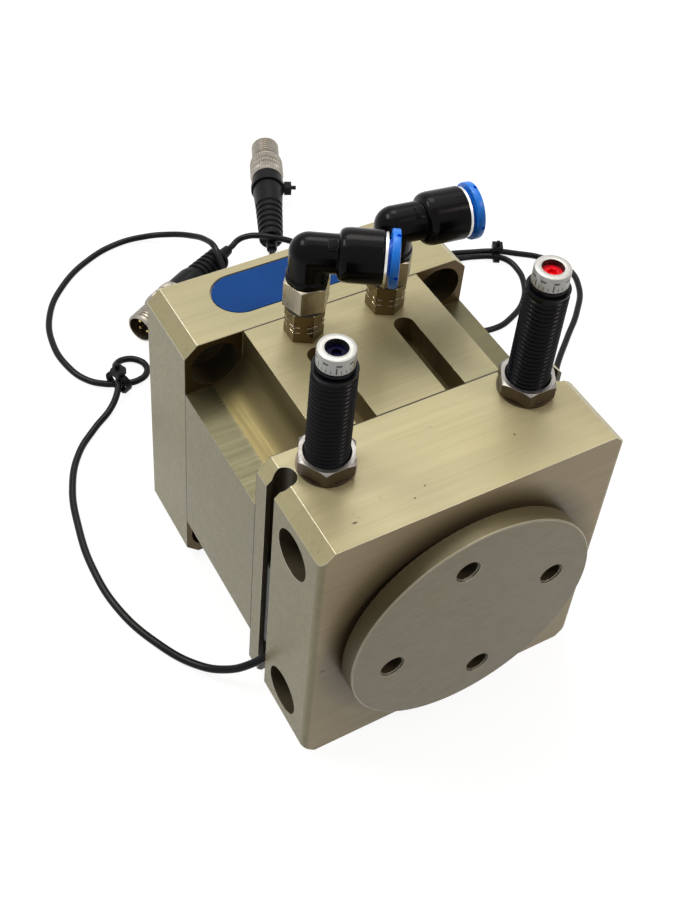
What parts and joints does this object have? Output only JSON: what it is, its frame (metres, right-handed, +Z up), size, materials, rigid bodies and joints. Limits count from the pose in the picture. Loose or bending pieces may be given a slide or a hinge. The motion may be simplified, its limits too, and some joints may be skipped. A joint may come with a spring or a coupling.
{
  "type": "pneumatic swivel unit",
  "caption": "Pneumatic vane swivel unit with a round output flange, two shock-absorber stops, two push-in elbow fittings and two sensor leads.",
  "frame": {"origin": "middle of the base face of the body", "axes": "+X to the right seen from the flange, +Y from the flange to the rear plate, +Z up"},
  "size_m": [0.2324, 0.2692, 0.14],
  "materials": {
    "champagne_anodised": "satin",
    "nameplate_blue": "gloss",
    "dark_steel": "satin",
    "rod_chrome": "polished",
    "absorber_black": "satin",
    "knob_aluminium": "satin",
    "insert_blue": "gloss",
    "insert_red": "gloss",
    "nickel": "satin",
    "seal_rubber": "matte",
    "elbow_black": "satin",
    "collar_blue": "satin",
    "sensor_black": "satin",
    "lead_black": "satin",
    "plug_black": "matte",
    "pin_gold": "polished"
  },
  "bodies": {
    "housing": {"front_block": "champagne_anodised", "middle_housing": "champagne_anodised", "rear_plate": "champagne_anodised", "nameplate": "nameplate_blue", "tie_screws": "dark_steel", "chamber_divider": "champagne_anodised", "front_bearing": "dark_steel", "rear_bearing": "dark_steel", "shaft_seal": "seal_rubber", "sealing_rings": "seal_rubber", "absorber_left": "absorber_black", "absorber_right": "absorber_black", "lock_nut_left": "dark_steel", "lock_nut_right": "dark_steel", "nut_washers": "dark_steel", "port_adapter_left": "nickel", "port_adapter_right": "nickel", "adapter_seals": "seal_rubber", "fitting_stem_left": "nickel", "fitting_stem_right": "nickel", "sensor_left": "sensor_black", "sensor_right": "sensor_black", "lead_left": "lead_black", "lead_right": "lead_black", "plug_body_left": "plug_black", "plug_body_right": "plug_black", "coupling_ring_left": "nickel", "coupling_ring_right": "nickel", "plug_insert_left": "sensor_black", "plug_insert_right": "sensor_black", "plug_pins_left": "pin_gold", "plug_pins_right": "pin_gold", "lead_tie_left": "plug_black", "lead_tie_right": "plug_black", "plug_tie": "plug_black"},
    "rotor": {"output_flange": "champagne_anodised", "stop_lever": "dark_steel", "vane": "dark_steel", "vane_strip": "seal_rubber", "drive_keys": "dark_steel"},
    "knob_left": {"knob_left": "knob_aluminium", "knob_insert_left": "insert_blue"},
    "knob_right": {"knob_right": "knob_aluminium", "knob_insert_right": "insert_red"},
    "rod_left": {"stop_rod_left": "rod_chrome"},
    "rod_right": {"stop_rod_right": "rod_chrome"},
    "elbow_left": {"elbow_left": "elbow_black", "socket_ring_left": "nickel"},
    "elbow_right": {"elbow_right": "elbow_black", "socket_ring_right": "nickel"},
    "collar_left": {"release_collar_left": "collar_blue"},
    "collar_right": {"release_collar_right": "collar_blue"}
  },
  "joints": [
    {"name": "swing", "type": "hinge", "parent": "housing", "child": "rotor", "pos_m": [0, 0, 0.0475], "axis": [0, 1, 0], "range_deg": [-80, 12.4]},
    {"name": "knob_turn_left", "type": "hinge", "parent": "housing", "child": "knob_left", "pos_m": [-0.0317, -0.02685, 0.13], "axis": [0, 0, 1], "range_deg": [-150, 150]},
    {"name": "rod_slide_left", "type": "slide", "parent": "housing", "child": "rod_left", "axis": [0, 0, 1], "range_m": [0, 0.006], "stiffness_N_per_m": 400, "springref_m": -0.01},
    {"name": "knob_turn_right", "type": "hinge", "parent": "housing", "child": "knob_right", "pos_m": [0.0317, -0.02685, 0.13], "axis": [0, 0, 1], "range_deg": [-150, 150]},
    {"name": "rod_slide_right", "type": "slide", "parent": "housing", "child": "rod_right", "axis": [0, 0, 1], "range_m": [0, 0.006], "stiffness_N_per_m": 400, "springref_m": -0.01},
    {"name": "elbow_swivel_left", "type": "hinge", "parent": "housing", "child": "elbow_left", "pos_m": [-0.0135, 0.01945, 0.125], "axis": [0, 0, 1], "range_deg": [-120, 0]},
    {"name": "collar_press_left", "type": "slide", "parent": "elbow_left", "child": "collar_left", "axis": [0.848, -0.5299, 0], "range_m": [-0.0008, 0], "stiffness_N_per_m": 500, "springref_m": 0.002},
    {"name": "elbow_swivel_right", "type": "hinge", "parent": "housing", "child": "elbow_right", "pos_m": [0.0135, 0.01945, 0.125], "axis": [0, 0, 1], "range_deg": [-28, 100]},
    {"name": "collar_press_right", "type": "slide", "parent": "elbow_right", "child": "collar_right", "axis": [0.9885, -0.1513, 0], "range_m": [-0.0008, 0], "stiffness_N_per_m": 500, "springref_m": 0.002}
  ]
}
